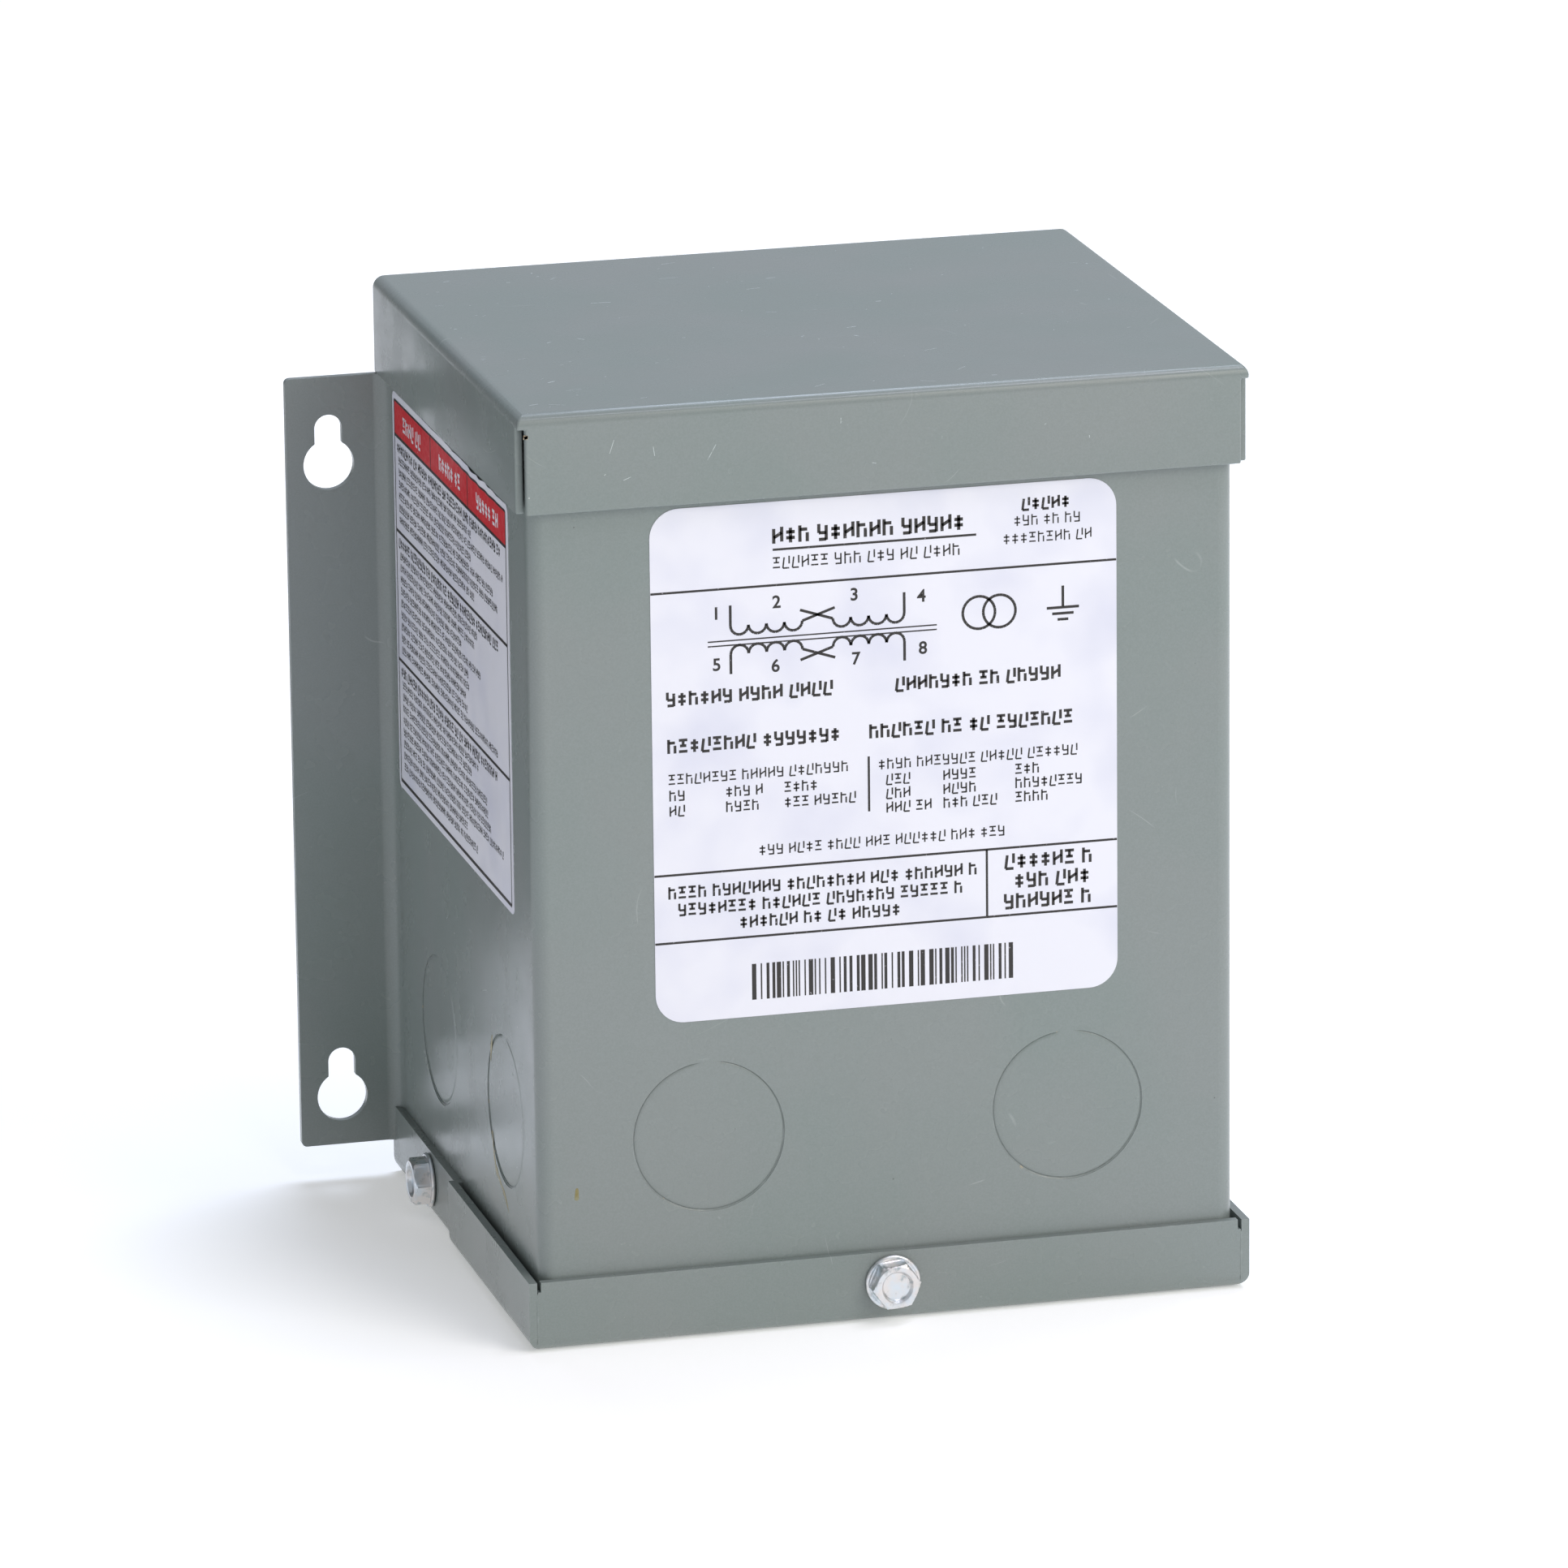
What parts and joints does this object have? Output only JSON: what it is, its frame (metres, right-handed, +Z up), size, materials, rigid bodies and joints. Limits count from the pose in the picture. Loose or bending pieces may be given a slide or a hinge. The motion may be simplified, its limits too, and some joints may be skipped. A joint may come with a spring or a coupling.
{
  "type": "dry-type transformer",
  "caption": "Small wall-mounted dry-type transformer in a rainproof folded steel case with a top hood, screwed bottom cover, knockouts and keyhole mounting flanges.",
  "frame": {"origin": "on the base, at mid-width and at mid-depth of the body", "axes": "+Z up, +Y into the wall it hangs on, so the front faces -Y and +X is to the right as seen from the front"},
  "size_m": [0.169, 0.1184, 0.1735],
  "materials": {
    "case_paint": "semi-gloss grey-green baked enamel",
    "zinc_plate": "bright zinc plate",
    "label_film": "satin printed film",
    "potting": "cast resin"
  },
  "bodies": {
    "root": {"body_wrap": "case_paint", "back_panel": "case_paint", "top_hood": "case_paint", "bottom_cover": "case_paint", "potted_winding": "potting", "rating_plate": "label_film", "side_label": "label_film", "front_left_knockout": "case_paint", "front_right_knockout": "case_paint", "left_front_knockout": "case_paint", "left_rear_knockout": "case_paint", "right_front_knockout": "case_paint", "right_rear_knockout": "case_paint", "front_cover_screw": "zinc_plate", "left_cover_screw": "zinc_plate", "right_cover_screw": "zinc_plate"}
  },
  "joints": []
}
